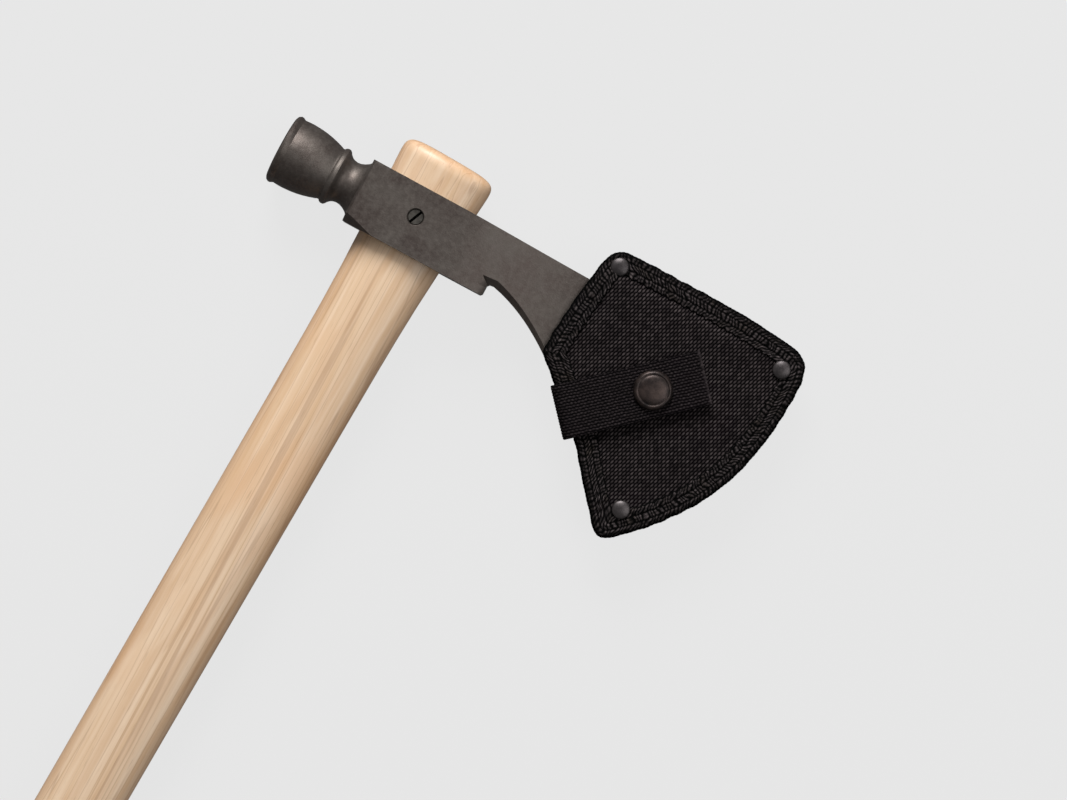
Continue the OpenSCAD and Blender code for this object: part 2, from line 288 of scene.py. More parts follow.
def hickory():
    """Pale lacquered wood, its grain running up the handle."""
    s = Shader("hickory", Roughness=0.42, Coat_Weight=0.12, Coat_Roughness=0.3)
    grain = s.place(turn=(0, 0, LEAN))
    rings = s.node("TexWave", {
        "Vector": s.place(turn=(math.radians(1.0), 0, LEAN + math.radians(1.3)), shift=(0.012, 0, 0.03)),
        "Scale": 52.0, "Distortion": 4.0, "Detail": 3.0, "Detail Scale": 0.3,
        "Detail Roughness": 0.6}, output="Fac", wave_type="RINGS", rings_direction="Y")
    streaks = s.noise(s.place(scale=(300, 7, 300), turn=(0, 0, LEAN)), 1.0, detail=5, rough=0.6)
    fibres = s.noise(s.place(scale=(1100, 22, 1100), turn=(0, 0, LEAN)), 1.0, detail=3)
    pores = s.noise(s.place(scale=(1900, 90, 1900), turn=(0, 0, LEAN)), 1.0, detail=2)
    warm = s.noise(grain, 20.0, detail=2)
    base = s.mix(s.ramp(streaks, (0.32, 0.0), (0.7, 1.0)), colour(228, 202, 174), colour(212, 178, 142))
    base = s.mix(s.ramp(rings, (0.5, 0.0), (0.95, 0.25)), base, colour(192, 148, 106))
    base = s.mix(s.ramp(fibres, (0.5, 0.0), (0.75, 0.3)), base, colour(196, 154, 114))
    base = s.mix(s.ramp(warm, (0.5, 0.0), (0.8, 0.3)), base, colour(222, 168, 118))
    lines = s.noise(s.place(scale=(230, 2.4, 230), turn=(0, 0, LEAN)), 1.0, detail=1)
    base = s.mix(s.ramp(lines, (0.476, 0.0), (0.497, 0.34), (0.503, 0.34), (0.524, 0.0)), base,
                 colour(150, 108, 76))
    base = s.mix(s.ramp(pores, (0.64, 0.0), (0.76, 0.3)), base, colour(140, 100, 68))
    # Darker orange from the Relief attribute: end grain at the ends, painted shade along the flanks.
    base = s.mix(s.ramp(s.relief(), (0.0, 0.0), (1.0, 0.4)), base, colour(200, 146, 98))
    s.set("Base Color", base)
    s.bump(s.mix(0.5, streaks, fibres), 0.12, 0.5)
    return s.material


def forged_steel():
    """Dark brown-grey oxide over a forged and tumbled surface."""
    s = Shader("forged_steel", Metallic=0.8, Specular_IOR_Level=0.3)
    where = s.place()
    blotches = s.noise(where, 60.0, detail=5, rough=0.6, distortion=0.3)
    specks = s.noise(where, 480.0, detail=5, rough=0.7)
    pits = s.noise(where, 1500.0, detail=3, rough=0.6)
    base = s.mix(s.ramp(blotches, (0.35, 0.0), (0.68, 1.0)),
                 colour(80, 71, 67), colour(96, 90, 85))
    base = s.mix(s.ramp(specks, (0.4, 0.0), (0.75, 0.5)), base, colour(116, 109, 104))
    s.set("Base Color", base)
    s.set("Roughness", s.ramp(s.mix(0.5, blotches, specks), (0.3, 0.42), (0.7, 0.57)))
    s.bump(s.mix(0.35, pits, specks), 0.16, 0.6)
    return s.material


def plain_metal(name, dark, light, metallic, roughness, grain, bump):
    """Coated or bare metal with a slight unevenness in colour and gloss."""
    s = Shader(name, Metallic=metallic)
    where = s.place()
    patches = s.noise(where, 190.0, detail=4, rough=0.6)
    fine = s.noise(where, grain, detail=3)
    s.set("Base Color", s.mix(s.ramp(patches, (0.35, 0.0), (0.7, 1.0)), dark, light))
    s.set("Roughness", s.ramp(fine, (0.3, roughness - 0.06), (0.7, roughness + 0.08)))
    s.bump(fine, bump, 0.5)
    return s.material


def screw_steel():
    """Bare steel, with painted shade darkening the bottom of the slot."""
    s = Shader("screw_steel", Metallic=0.85)
    where = s.place()
    patches = s.noise(where, 190.0, detail=4, rough=0.6)
    fine = s.noise(where, 900.0, detail=3)
    steel = s.mix(s.ramp(patches, (0.35, 0.0), (0.7, 1.0)), colour(74, 71, 67), colour(112, 108, 102))
    face = max(corner.co.z for corner in nodes["set_screw"].data.vertices)
    height = s.node("SeparateXYZ", {"Vector": where}, output="Z")
    # Everything more than 0.4 mm below the screw's face is painted near-black: painted shade in the
    # slot.
    outside_slot_shade = s.math("GREATER_THAN", height, face - 0.4 * MM)
    s.set("Base Color", s.mix(outside_slot_shade, colour(8, 7, 6), steel))
    s.set("Roughness", s.ramp(fine, (0.3, 0.32), (0.7, 0.46)))
    s.bump(fine, 0.05, 0.5)
    return s.material


WEAVE = 1.6


def panel_nylon():
    """Black woven nylon: painted highlight on the slanting crowns of yarn and painted shade in the
    near-black gaps between them.
    """
    s = Shader("panel_nylon", Specular_IOR_Level=0.04)
    crowns = s.relief()
    cell = s.node("VectorMath", {0: s.cloth(scale=(1 / WEAVE, 1 / WEAVE, 1)), 1: (0.5, 0.5, 0.5)},
                  operation="ADD")
    cell = s.node("VectorMath", {0: cell}, operation="FLOOR")
    chance = s.node("TexWhiteNoise", {"Vector": cell}, noise_dimensions="2D")
    # The crown colour varies at random from cell to cell.
    crown_highlight = s.mix(s.ramp(chance, (0.0, 0.25), (1.0, 1.0)), colour(24, 20, 21), colour(74, 67, 67))
    # The colour follows the relief: painted highlight on the crowns, painted shade in the gaps.
    s.set("Base Color", s.mix(s.ramp(crowns, (0.3, 0.0), (0.85, 1.0)), colour(2, 1, 2), crown_highlight))
    s.set("Roughness", s.ramp(crowns, (0.3, 1.0), (0.9, 0.5)))
    s.bump(s.noise(s.cloth(), 4.0, detail=2), 0.05, 0.5)
    return s.material


def woven(name, gap, yarn, crown, thread, sheen_tint):
    """Black tape or webbing: painted shade in the gaps, painted highlight on the crowns of yarn, fine
    threads and a few brownish patches of painted sheen.
    """
    s = Shader(name, Specular_IOR_Level=0.05)
    fine = s.noise(s.cloth(scale=thread), 1.0, detail=3, rough=0.6)
    patches = s.noise(s.cloth(), 0.11, detail=3)
    single = s.noise(s.cloth(), 0.75, detail=1)
    crowned = s.mix(s.ramp(single, (0.3, 0.0), (0.7, 1.0)), yarn, crown)
    # Brownish patches placed at random: painted sheen.
    crowned = s.mix(s.ramp(patches, (0.5, 0.0), (0.72, 0.5)), crowned, sheen_tint)
    # Brightness follows the relief: painted highlight on the crowns, painted shade in the gaps.
    lit = s.math("MULTIPLY", s.ramp(s.relief(), (0.1, 0.0), (0.75, 1.0)),
                 s.ramp(fine, (0.25, 0.35), (0.7, 1.0)))
    s.set("Base Color", s.mix(lit, gap, crowned))
    s.set("Roughness", s.ramp(lit, (0.1, 1.0), (0.9, 0.5)))
    s.bump(fine, 0.1, 0.7)
    return s.material


HICKORY = hickory()
FORGED = forged_steel()
SCREW = screw_steel()
RIVET = plain_metal("rivet_metal", colour(56, 52, 53), colour(86, 81, 81), 0.75, 0.42, 1200, 0.05)
CAP = plain_metal("snap_black", colour(24, 20, 20), colour(74, 62, 58), 0.7, 0.4, 1200, 0.06)
SNAP = plain_metal("snap_metal", colour(112, 108, 102), colour(142, 138, 130), 0.9, 0.36, 900, 0.03)
NYLON = panel_nylon()
TAPE = woven("binding_tape", colour(3, 3, 3), colour(44, 39, 40), colour(106, 97, 97), (1.6, 4.0, 1),
             colour(64, 55, 42))
WEBBING = woven("webbing", colour(2, 1, 2), colour(36, 31, 32), colour(66, 59, 60), (0.8, 6.0, 1),
                colour(38, 33, 32))
WELT = plain_metal("welt_plastic", colour(14, 13, 14), colour(26, 25, 26), 0.0, 0.5, 600, 0.05)


# ---- CAD nodes: materials, and softened edges on the head ----


HEAD_EDGE = 0.45
SHARP = math.radians(30)


def soften_head():
    """Rounds the head's sharp edges, as forging and tumbling do."""
    piece = nodes["head"]
    piece.data.shade_smooth()
    piece.data.set_sharp_from_angle(angle=SHARP)
    weld = piece.modifiers.new("weld", "WELD")
    weld.merge_threshold = 0.002 * MM
    flat = piece.modifiers.new("flat", "DECIMATE")
    flat.decimate_type = "DISSOLVE"
    flat.angle_limit = math.radians(0.3)
    edges = piece.modifiers.new("edges", "BEVEL")
    edges.width = HEAD_EDGE * MM
    edges.segments = 3
    edges.limit_method = "ANGLE"
    edges.angle_limit = SHARP
    edges.use_clamp_overlap = True
    shading = piece.modifiers.new("shading", "WEIGHTED_NORMAL")
    shading.keep_sharp = True


def dress(name, material):
    """Gives a CAD node its material."""
    piece = nodes[name]
    piece.data.materials.clear()
    piece.data.materials.append(material)


dress("head", FORGED)
soften_head()
dress("set_screw", SCREW)
dress("edge_welt", WELT)
for metal in ("snap_socket", "snap_stud", "snap_post"):
    dress(metal, SNAP)


# ---- Handle ----

EYE_X = 0.6
OVAL_POWER = 2.2
CROWN_TOP = 29.4


def make_handle():
    """The stick: an oval loft that tapers to the butt and is domed at the top."""
    low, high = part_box("handle")
    butt = -((high.y - low.y) / MM - CROWN_TOP / math.cos(LEAN)) / math.cos(LEAN)
    shaft = np.array([[butt + 8, 15.9, 10.3], [-90, 16.75, 10.5], [-60, 16.9, 10.5], [-45, 17.1, 10.5],
                      [-30, 17.5, 10.6], [-13.75, 18.3, 10.7], [13.75, 19.6, 11.2]])
    heights = np.arange(shaft[0, 0], shaft[-1, 0], 4)
    straight = np.stack([np.interp(heights, shaft[:, 0], shaft[:, k]) for k in range(3)], 1)
    foot = smooth_line([[butt, 1, 0.6], [butt, 8, 4.5], [butt + 0.1, 12.4, 7.4], [butt + 0.9, 14.4, 9.2],
                        [butt + 3, 15.6, 10.1], [butt + 8, 15.9, 10.3]], 0.8)[:-1]
    crown = smooth_line([[13.75, 19.6, 11.2], [20, 20, 11.6], [24, 20.1, 11.8], [26.3, 19.7, 11.3],
                         [27.9, 18.3, 10.1], [28.8, 15.6, 8.1], [29.2, 11.8, 5.5], [29.3, 6, 2.8],
                         [29.3, 1, 0.5]], 0.8)
    line = np.concatenate([foot, straight, crown])
    sides = 128
    turn = np.linspace(0, 2 * math.pi, sides, endpoint=False)
    spread = 2 / OVAL_POWER
    across = np.sign(np.cos(turn)) * np.abs(np.cos(turn)) ** spread
    thick = np.sign(np.sin(turn)) * np.abs(np.sin(turn)) ** spread
    rings = []
    for y, wide, deep in line:
        x = wide * across
        z = deep * thick
        rings.append(np.stack([
            EYE_X + x * math.cos(LEAN) + y * math.sin(LEAN),
            y * math.cos(LEAN) - x * math.sin(LEAN), z], 1))
    faces = [f[::-1] for f in tube(rings)]
    heights = np.array(line)[:, 0]
    # The tint near both ends is the darker end grain; the tint along the left and right flanks is
    # painted shade.
    ends = np.clip(np.maximum(heights - 24.5, heights[0] + 3 - heights) / 4, 0, 1)
    flanks = np.clip((np.abs(across) - 0.72) / 0.28, 0, 1) * 0.8
    end_grain_and_edge_shade = np.maximum(ends[:, None], flanks[None, :]).reshape(-1)
    make("handle_stick", np.concatenate(rings), faces, HICKORY, "handle", ["handle"], relief=end_grain_and_edge_shade)


make_handle()


# ---- Sheath ----

WEDGE = math.radians(1.8)
PANEL = 1.8
TAPE_T = 0.7
SKIN = PANEL + TAPE_T
TAPE_W = 9.0
TAPE_RIM = 0.4
TAPE_COLUMN = 2.8
RIB_PITCH = 1.8
SHEATH_CENTRE = np.array([120.0, -18.0])
RIVETS = {"mouth": (81.5, 23.0), "toe": (158.5, 17.5), "tip": (128.3, -62.8)}
VIEW_TURN = math.radians(28.4)

outline_curves = [
    [(70.4, -21.5), (70.2, -7), (72.4, 8), (74, 19.5)],
    [(74, 19.5), (75.2, 25.5), (77.5, 29.4), (83, 29.7)],
    [(83, 29.7), (105, 30.3), (135, 30.5), (156, 28)],
    [(156, 28), (165.5, 27), (168.6, 24), (168.3, 10)],
    [(168.3, 10), (168.3, -26), (157, -50), (132, -73)],
    [(132, -73), (127.5, -77.5), (123.5, -78), (119.5, -72)],
    [(119.5, -72), (113, -64.5), (106.3, -57), (100, -48.4)],
    [(100, -48.4), (92, -41.3), (82.5, -32.9), (75, -26)],
    [(75, -26), (73.2, -24.5), (71, -23), (70.4, -21.5)],
]


def even_outline(step):
    """Points at even steps round the sheath's outline, and their distance along it."""
    line = np.concatenate([bezier(c, 60)[:-1] for c in outline_curves])
    closed = np.concatenate([line, line[:1]])
    length = np.concatenate([[0], np.cumsum(np.linalg.norm(np.diff(closed, axis=0), axis=1))])
    where = np.linspace(0, length[-1], int(length[-1] / step), endpoint=False)
    return np.stack([np.interp(where, length, closed[:, k]) for k in (0, 1)], 1), where


OUTLINE, OUTLINE_AT = even_outline(0.4)


def edge_distance(points):
    """Distance of each point from the sheath's outline."""
    found = np.empty(len(points))
    for start in range(0, len(points), 4000):
        part = points[start:start + 4000]
        gaps = part[:, None, :] - OUTLINE[None, ::2, :]
        found[start:start + 4000] = np.sqrt((gaps**2).sum(-1).min(1))
    return found


def inset_line(depth):
    """For each outline point, the point a true distance inside, on the way to the centre."""
    low = np.zeros(len(OUTLINE))
    high = np.full(len(OUTLINE), 0.6)
    way = SHEATH_CENTRE - OUTLINE
    for _ in range(14):
        middle = (low + high) / 2
        near = edge_distance(OUTLINE + way * middle[:, None]) < depth
        low = np.where(near, middle, low)
        high = np.where(near, high, middle)
    return OUTLINE + way * low[:, None]


INSET_DEPTHS = np.array([0.0, 1.5, 3.0, 5.0, 7.0, 9.0])
INSETS = np.array([OUTLINE] + [inset_line(d) for d in INSET_DEPTHS[1:]])


def inset_points(which, depth):
    """Points of the outline moved a distance inside it."""
    k = int(np.clip(np.searchsorted(INSET_DEPTHS, depth, side="right") - 1, 0, len(INSET_DEPTHS) - 2))
    share = (depth - INSET_DEPTHS[k]) / (INSET_DEPTHS[k + 1] - INSET_DEPTHS[k])
    return INSETS[k][which] * (1 - share) + INSETS[k + 1][which] * share


MOUTH_X = 72.0
MOUTH_HALF = 5.3
SEAM_HALF = 1.8
CREASE = 3.0
RIVET_DIP = 4.6


def hollow(x):
    """Half the space between the panels, over the blade."""
    return MOUTH_HALF - (x - MOUTH_X) * math.tan(WEDGE)


def half_space(x, y):
    """The same, closing in to the top seam with a soft crease."""
    over_blade = hollow(x)
    to_seam = np.interp(y, [15.5, 21.5], [hollow(60.0), SEAM_HALF])
    return -np.log(np.exp(-CREASE * over_blade) + np.exp(-CREASE * to_seam)) / CREASE


def pressed(x, y):
    """1 away from the rivets, falling to 0 under them."""
    left = np.ones(np.broadcast(x, y).shape)
    for px, py in RIVETS.values():
        left = left * (1 - np.exp(-(((x - px) ** 2 + (y - py) ** 2) / RIVET_DIP**2) ** 1.5))
    return left


def fabric_lift(x, y):
    """Slight unevenness of the padded panels."""
    return 0.16 * ripple(x, y, 34, 3) + 0.07 * ripple(x, y, 13, 5)


def make_panel(side):
    """A padded panel with its weave as relief; its edge lies under the binding."""
    step = WEAVE / 4
    reach = 62
    steps = np.arange(-int(reach / step), int(reach / step) + 1) * step
    u, v = np.meshgrid(steps, steps, indexing="ij")
    x = SHEATH_CENTRE[0] + u * math.cos(VIEW_TURN) - v * math.sin(VIEW_TURN)
    y = SHEATH_CENTRE[1] + u * math.sin(VIEW_TURN) + v * math.cos(VIEW_TURN)
    inside = np.zeros(x.shape, bool)
    ring = OUTLINE[::3]
    for (ax, ay), (bx, by) in zip(ring, np.roll(ring, -1, axis=0)):
        if ay != by:
            inside ^= ((ay > y) != (by > y)) & (x < (bx - ax) * (y - ay) / (by - ay) + ax)
    near = np.zeros(x.shape)
    near[inside] = edge_distance(np.stack([x[inside], y[inside]], 1))
    edge = 1.1
    kept = near > edge
    cells = kept[:-1, :-1] & kept[1:, :-1] & kept[1:, 1:] & kept[:-1, 1:]
    number = -np.ones(x.shape, int)
    used = np.zeros(x.shape, bool)
    for di in (0, 1):
        for dj in (0, 1):
            used[di:di + cells.shape[0], dj:dj + cells.shape[1]] |= cells
    number[used] = np.arange(used.sum())
    i, j = np.nonzero(cells)
    quads = np.stack([number[i, j], number[i + 1, j], number[i + 1, j + 1], number[i, j + 1]], 1)
    count = used.sum()
    sides = np.concatenate([quads[:, [k, (k + 1) % 4]] for k in range(4)])
    both = set((sides[:, 0] * count + sides[:, 1]).tolist())
    rim = [(a, b) for a, b in sides.tolist() if b * count + a not in both]
    px, py, u, v = x[used], y[used], u[used], v[used]
    sway = 0.35 * ripple(px, py, 45, 11)
    u, v = u + sway, v - sway
    a, b = 2 * math.pi * u / WEAVE, 2 * math.pi * v / WEAVE
    crowns = 0.45 + 0.14 * (np.cos(a) + np.cos(b)) + 0.27 * np.cos(a - b)
    fade = np.clip((near[used] - 7.0) / 2.0, 0, 1)
    base = half_space(px, py)
    top = base + PANEL + fabric_lift(px, py) * fade + 0.16 * crowns * fade
    points = np.concatenate([np.stack([px, py, top], 1), np.stack([px, py, base], 1)])
    faces = quads.tolist() + (quads[:, ::-1] + count).tolist()
    faces += [[b, a, a + count, b + count] for a, b in rim]
    uv = np.stack([u, v], 1)
    if side == "back":
        points[:, 2] *= -1
        faces = [f[::-1] for f in faces]
    make(f"{side}_panel", points, faces, NYLON, "sheath", [f"sheath_{side}_panel"],
         uv=np.concatenate([uv, uv]), relief=np.concatenate([crowns, crowns]))


def tape_relief(along, depth, x, y):
    """Height of the woven tape over its base, and its relief from 0 in the gaps to 1 on the crowns.

    Three columns of slanting ribs in a herringbone, each rib two beads of yarn long, with the stitched
    groove between the second and the third.
    """
    column = np.clip(np.floor((depth - TAPE_RIM) / TAPE_COLUMN), 0, 2)
    within = (depth - TAPE_RIM) / TAPE_COLUMN - column
    crown = np.clip(1 - np.abs(2 * within - 1) ** 5, 0, 1)
    slant = np.where(column == 1, -1.0, 1.0)
    wander = 0.75 * ripple(x, y, 5, 23)
    rib = 0.5 + 0.5 * np.cos(2 * math.pi * (along / RIB_PITCH + slant * 0.9 * within + wander))
    bead = 0.5 - 0.5 * np.cos(4 * math.pi * within)
    uneven = 0.75 + 0.6 * ripple(x, y, 2.4, 27)
    relief = np.clip(crown * rib * (0.4 + 0.6 * bead) * uneven, 0, 1)
    groove = np.exp(-((depth - TAPE_RIM - 2 * TAPE_COLUMN) / 0.4) ** 2)
    rough = 0.1 * ripple(x, y, 5, 21)
    return (crown * 0.2 + 0.5 * relief + rough - 0.3 * groove) * pressed(x, y), relief


def tape_over(which, along):
    """Rings of the tape over one face, from its inner edge out to the sheath's outline."""
    depths = np.concatenate([np.arange(TAPE_W, 0.9, -0.35), [0.7, 0.45, 0.25, 0.1, 0.0]])
    scallop = 0.35 * np.sin(2 * math.pi * along / 4.1) + 0.2 * np.sin(2 * math.pi * along / 6.7)
    ragged = 0.06 * np.cos(2 * math.pi * along / RIB_PITCH) + 0.4 * ripple(along, 0.0, 5.5, 29)
    rings, reliefs = [], []
    for depth in depths:
        near = depth + scallop * (depth / TAPE_W) ** 2 + ragged * (1 - depth / TAPE_W) ** 2
        p = inset_points(which, depth)
        inward = inset_points(which, TAPE_W) - OUTLINE[which]
        inward /= np.linalg.norm(inward, axis=1)[:, None]
        p = p + inward * (near - depth)[:, None]
        x, y = p[:, 0], p[:, 1]
        base = half_space(x, y) + PANEL
        drop = 1.5 * (1 - min(depth / 1.8, 1.0)) ** 2
        lip = TAPE_T if depth < TAPE_W - 0.2 else 0.1
        height, relief = tape_relief(along, np.full(len(x), depth), x, y)
        rings.append(np.stack([x, y, base + lip + height - drop], 1))
        reliefs.append(relief * (0.1 + 0.9 * min(depth / 2.4, 1.0)))
    return np.array(rings), np.array(reliefs)


def make_binding(name, which, sides, stands_for):
    """Tape along part of the outline, folded over one panel or round both."""
    along = OUTLINE_AT[which]
    front, front_relief = tape_over(which, along)
    inner = [inset_points(which, d) for d in (TAPE_T, 3.0, 6.0, TAPE_W)]

    def under(points, lift):
        return np.stack([points[:, 0], points[:, 1], half_space(points[:, 0], points[:, 1]) + lift], 1)

    edge = front[-1]
    edge_relief = 0.6 * (0.5 + 0.5 * np.cos(2 * math.pi * along / RIB_PITCH))
    if sides == "both":
        shares = (0.85, 0.68, 0.5, 0.32, 0.15, -0.15, -0.32, -0.5, -0.68, -0.85)
        wrap = [edge * [1, 1, share] for share in shares]
        lining = [under(p, PANEL) * [1, 1, -1] for p in inner[::-1]] + [under(p, PANEL) for p in inner]
        loop = [*front, *wrap, *(front[::-1] * [1, 1, -1]), *lining]
        relief = [*front_relief, *[edge_relief] * len(wrap), *front_relief[::-1]]
    else:
        lower = under(OUTLINE[which], -TAPE_T + 0.5)
        wrap = [edge * [1, 1, 1 - s] + lower * [0, 0, s] for s in (0.3, 0.6, 0.85)]
        below = [under(inset_points(which, d), -TAPE_T) for d in (0.6, 3.0, 6.0, TAPE_W - 0.5)]
        lining = [under(p, 0.0) for p in inner[::-1]] + [under(p, PANEL) for p in inner]
        loop = [*front, *wrap, *below, *lining]
        relief = [*front_relief, *[edge_relief] * len(wrap)]
    relief += [edge_relief * 0.5] * (len(loop) - len(relief))
    rings = np.array(loop).transpose(1, 0, 2)
    steps = np.linalg.norm(np.diff(rings[len(rings) // 2], axis=0), axis=1)
    girth = np.concatenate([[0], np.cumsum(steps)])
    uv = np.stack(np.broadcast_arrays(along[:, None], girth[None, :]), -1).reshape(-1, 2)
    points = rings.reshape(-1, 3)
    faces = tube(rings)
    if sides == "back":
        points = points * [1, 1, -1]
    else:
        faces = [f[::-1] for f in faces]
    make(name, points, faces, TAPE, "sheath", stands_for, uv=uv,
         relief=np.array(relief).transpose(1, 0).reshape(-1))


def outline_run(start, stop):
    """Indices of outline points from near one point to near another, going round."""
    a = int(np.linalg.norm(OUTLINE - start, axis=1).argmin())
    b = int(np.linalg.norm(OUTLINE - stop, axis=1).argmin())
    if b <= a:
        b += len(OUTLINE)
    return np.arange(a, b + 1) % len(OUTLINE)


SEAM_START = (77.6, 28.2)
SEAM_END = (123.6, -76.6)

for side in ("front", "back"):
    make_panel(side)
    make_binding(f"{side}_mouth_tape", outline_run(SEAM_END, SEAM_START), side,
                 [f"{side}_mouth_binding"])
make_binding("seam_tape", outline_run(SEAM_START, SEAM_END), "both", ["seam_binding"])


# ---- Rivets ----

CAP_PROFILE = [(0, -1.6), (3.0, -1.6), (3.5, -0.6), (3.7, 0.1), (3.7, 0.8), (3.6, 1.15), (3.3, 1.42),
               (2.7, 1.7), (2.0, 1.92), (1.3, 2.06), (0.6, 2.12), (0, 2.13)]
BACK_PROFILE = [(0, -1.2), (2.8, -1.2), (3.2, -0.4), (3.3, 0.2), (3.25, 0.55), (3.0, 0.8), (2.4, 0.9),
                (1.9, 0.88), (1.6, 0.6), (1.2, 0.45), (0, 0.42)]


def make_rivet(name):
    """The domed cap on the front and the rolled back of one rivet."""
    x, y = RIVETS[name]
    height = float(half_space(np.array(x), np.array(y))) + SKIN - 0.3
    for kind, profile, side in (("cap", CAP_PROFILE, 1), ("back", BACK_PROFILE, -1)):
        points, faces = lathe(smooth_line(profile, 0.2), 56)
        points = points * [1, 1, side] + [x, y, side * height]
        if side < 0:
            faces = [f[::-1] for f in faces]
        make(f"{name}_rivet_{kind}", points, faces, RIVET, "sheath", [f"rivet_{kind}_{name}"])


for rivet in RIVETS:
    make_rivet(rivet)


# ---- Strap and snap ----

STRAP_W = 22.5
STRAP_T = 1.6
STRAP_TURN = math.radians(41.8)
SNAP_AT = (116.6, -14.4)
SNAP_TO_FOLD = 39.25
SNAP_TO_END = 22.0
ANCHOR_RUN = 34.0
SNAP_GAP = 2.6
FLAP_LIFT = SNAP_GAP + STRAP_T / 2
ANCHOR_LIFT = TAPE_T + STRAP_T / 2
SNAP_X = SNAP_AT[0] / math.cos(WEDGE) - PANEL * math.tan(WEDGE)


def on_front(along, across, lift):
    """A point over the front panel: distance from the fold along the strap, across it, and above."""
    run = along - SNAP_TO_FOLD
    x = SNAP_X + run * math.cos(STRAP_TURN) - across * math.sin(STRAP_TURN)
    y = SNAP_AT[1] + run * math.sin(STRAP_TURN) + across * math.cos(STRAP_TURN)
    z = PANEL + lift
    return np.array([
        x * math.cos(WEDGE) + z * math.sin(WEDGE),
        y,
        hollow(0.0) + z * math.cos(WEDGE) - x * math.sin(WEDGE),
    ])


def on_back(along, across, lift):
    """The same point under the back panel."""
    return on_front(along, across, lift) * [1, 1, -1]


def fillet(corner, before, after, radius, count=9):
    """Points of an arc that rounds a corner."""
    a = (before - corner) / np.linalg.norm(before - corner)
    b = (after - corner) / np.linalg.norm(after - corner)
    half = math.acos(float(np.clip(a @ b, -1, 1))) / 2
    reach = radius / math.tan(half)
    middle = corner + (a + b) / np.linalg.norm(a + b) * radius / math.sin(half)
    start = corner + a * reach - middle
    stop = corner + b * reach - middle
    sweep = math.pi - 2 * half
    return [middle + (start * math.sin((1 - t) * sweep) + stop * math.sin(t * sweep)) / math.sin(sweep)
            for t in np.linspace(0, 1, count)]


FOLD_IN = 0.3
STRAP_RIB = 1.22
STRAP_PICK = 1.5


def strap_line(across):
    """The strap's centre line at a distance across it: back, round the open edge, and over the front."""
    back_end = on_back(ANCHOR_RUN, across, ANCHOR_LIFT)
    back_fold = on_back(FOLD_IN, across, ANCHOR_LIFT)
    front_fold = on_front(FOLD_IN, across, FLAP_LIFT)
    free_end = on_front(SNAP_TO_FOLD + SNAP_TO_END, across, FLAP_LIFT)
    return np.array([back_end, *fillet(back_fold, back_end, front_fold, 1.8),
                     *fillet(front_fold, back_fold, free_end, 3.2), free_end])


def resample(line, step):
    """Even steps along a line, and the distance of each point along it."""
    length = np.concatenate([[0], np.cumsum(np.linalg.norm(np.diff(line, axis=0), axis=1))])
    where = np.linspace(0, length[-1], int(length[-1] / step) + 1)
    return np.stack([np.interp(where, length, line[:, k]) for k in range(3)], 1), where


def make_strap():
    """Ribbed webbing in two pieces that meet halfway up the bridge over the open edge."""
    middle, where = resample(strap_line(0.0), 0.45)
    tangent = np.gradient(middle, axis=0)
    tangent /= np.linalg.norm(tangent, axis=1)[:, None]
    spread = np.array([-math.sin(STRAP_TURN), math.cos(STRAP_TURN), 0.0])
    normal = np.cross(tangent, spread)
    normal /= np.linalg.norm(normal, axis=1)[:, None]
    across = np.linspace(-STRAP_W / 2, STRAP_W / 2, 76)
    low = strap_line(-STRAP_W / 2)
    high = strap_line(STRAP_W / 2)
    low_line = resample(low, 0.45)[0]
    high_line = resample(high, 0.45)[0]

    def side_of(line):
        share = np.linspace(0, 1, len(middle))
        own = np.linspace(0, 1, len(line))
        return np.stack([np.interp(share, own, line[:, k]) for k in range(3)], 1)

    low_line, high_line = side_of(low_line), side_of(high_line)
    share = (across / STRAP_W + 0.5)[None, :, None]
    sheet = low_line[:, None, :] * (1 - share) + high_line[:, None, :] * share
    along = where[:, None]
    wave = across[None, :] + 0.1 * np.sin(2 * math.pi * along / 2.9 + across[None, :]) \
        + 0.22 * ripple(along, across[None, :], 9, 31)
    rib = 0.5 + 0.5 * np.cos(2 * math.pi * wave / STRAP_RIB)
    cross = 0.5 + 0.5 * np.cos(2 * math.pi * (along / STRAP_PICK + np.round(wave / STRAP_RIB) * 0.5))
    edge = np.clip((STRAP_W / 2 - np.abs(across)) / 0.7, 0, 1)[None, :] ** 0.5
    half = (STRAP_T / 2 - 0.22) * (0.35 + 0.65 * edge) + 0.1 * rib + 0.12 * cross * rib
    outer = sheet - normal[:, None, :] * half[..., None]
    inner = sheet + normal[:, None, :] * half[..., None]
    ring = np.concatenate([outer, inner[:, ::-1]], axis=1)
    girth = np.concatenate([across, across[::-1]])
    # Crown brightness is painted highlight: it fades toward the long edges and is full along the last
    # millimetre of the free end, a painted highlight on the cut edge.
    cut_end_highlight = np.clip(1.6 - (where[-1] - along) / 0.7, 0, 1)
    crowns = np.maximum(rib * (0.3 + 0.7 * cross) * edge, cut_end_highlight)
    relief = np.concatenate([crowns, crowns[:, ::-1]], axis=1)
    halfway = (on_back(0, 0, ANCHOR_LIFT)[2] + on_front(0, 0, FLAP_LIFT)[2]) / 2
    bridge = int(np.abs(middle[:, 2] - halfway).argmin())
    parts = {
        "strap_rear": (slice(0, bridge + 1), ["strap_anchor", "strap_bend"]),
        "strap_front": (slice(bridge, None), ["strap_flap"]),
    }
    for name, (part, stands_for) in parts.items():
        rings = ring[part]
        uv = np.stack(np.broadcast_arrays(where[part][:, None], girth[None, :]), -1).reshape(-1, 2)
        piece = make(name, rings.reshape(-1, 3), tube(rings), WEBBING, None, stands_for, uv=uv,
                     relief=relief[part])
        if name == "strap_rear":
            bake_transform(piece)
        else:
            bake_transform(piece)


make_strap()


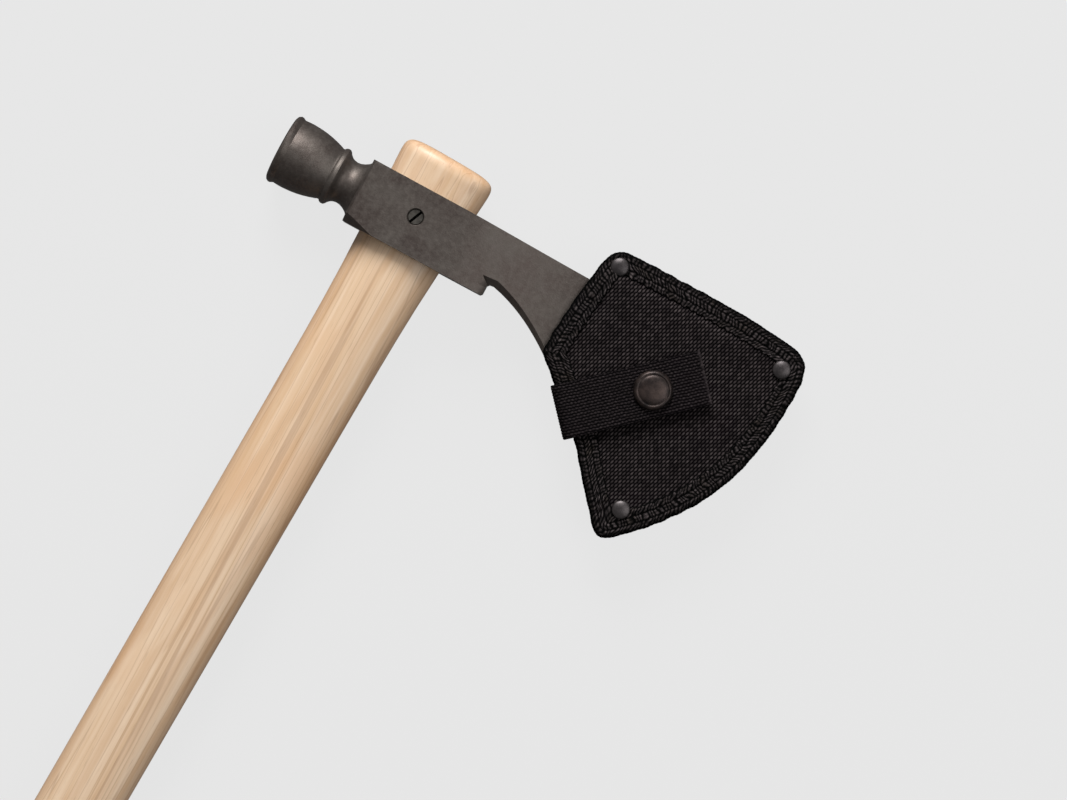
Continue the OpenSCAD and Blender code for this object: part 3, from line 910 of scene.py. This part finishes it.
def make_snap_cap():
    """The snap's cap: a shallow crown with one plain raised ring."""
    profile = [(0, -0.3), (7.0, -0.3), (7.6, 0.0), (8.0, 0.5), (8.0, 1.0), (7.8, 1.5), (7.4, 1.95),
               (7.0, 2.2), (6.6, 2.25), (6.3, 2.12), (6.0, 2.1), (5.6, 2.3), (5.0, 2.5), (4.0, 2.66),
               (2.6, 2.78), (1.2, 2.82), (0, 2.83)]
    points, faces = lathe(smooth_line(profile, 0.25), 96)
    turned = np.array(Matrix.Rotation(WEDGE, 3, "Y"))
    points = points @ turned.T + on_front(SNAP_TO_FOLD, 0, SNAP_GAP + STRAP_T)
    make("snap_cap_dome", points, faces, CAP, "strap", ["snap_cap"])


make_snap_cap()


# ---- Floor, light and camera ----

AIM = at(76.4, -40.7)
RIGHT = Vector((math.cos(VIEW_TURN), math.sin(VIEW_TURN), 0))
UP = Vector((-math.sin(VIEW_TURN), math.cos(VIEW_TURN), 0))


FLOOR_REACH = 12
FLOOR_GLOW = 0.76
STUDIO_FILL = 0.16
CAMERA_HEIGHT = 1.8
LENS = 150.4


def make_floor():
    """A pale floor that glows a little, so the object's shadow on it stays faint."""
    mesh = bpy.data.meshes.new("floor")
    reach = FLOOR_REACH
    mesh.from_pydata([(-reach, -reach, 0), (reach, -reach, 0), (reach, reach, 0), (-reach, reach, 0)],
                     [], [(0, 1, 2, 3)])
    floor = bpy.data.objects.new("floor", mesh)
    bpy.context.scene.collection.objects.link(floor)
    s = Shader("pale_floor", Roughness=0.9, Specular_IOR_Level=0.1)
    s.set("Base Color", (0.03, 0.03, 0.03, 1))
    s.set("Emission Color", (1, 1, 1, 1))
    s.set("Emission Strength", FLOOR_GLOW)
    floor.data.materials.append(s.material)
    floor.visible_glossy = False
    floor.visible_diffuse = False


def area_light(name, right, up, height, size, power):
    """A square soft light at a place seen from the camera, aimed at the middle of the view."""
    data = bpy.data.lights.new(name, "AREA")
    data.energy = power
    data.size = size
    light = bpy.data.objects.new(name, data)
    light.location = AIM + RIGHT * right + UP * up + Vector((0, 0, height))
    light.rotation_mode = "QUATERNION"
    light.rotation_quaternion = (AIM - light.location).to_track_quat("-Z", "Y")
    bpy.context.scene.collection.objects.link(light)


make_floor()
area_light("key", -0.1, 2.0, 1.3, 1.2, 76)
area_light("overhead", 1.3, -0.2, 1.8, 1.6, 17)

world = bpy.data.worlds.new("studio")
world.use_nodes = True
world.node_tree.nodes["Background"].inputs["Color"].default_value = (1, 1, 1, 1)
world.node_tree.nodes["Background"].inputs["Strength"].default_value = STUDIO_FILL
bpy.context.scene.world = world
bpy.context.scene.view_settings.view_transform = "Standard"

camera_data = bpy.data.cameras.new("camera")
camera_data.lens = LENS
camera = bpy.data.objects.new("camera", camera_data)
camera.location = AIM + Vector((0, 0, CAMERA_HEIGHT))
camera.rotation_euler = (0, 0, VIEW_TURN)
bpy.context.scene.collection.objects.link(camera)
bpy.context.scene.camera = camera
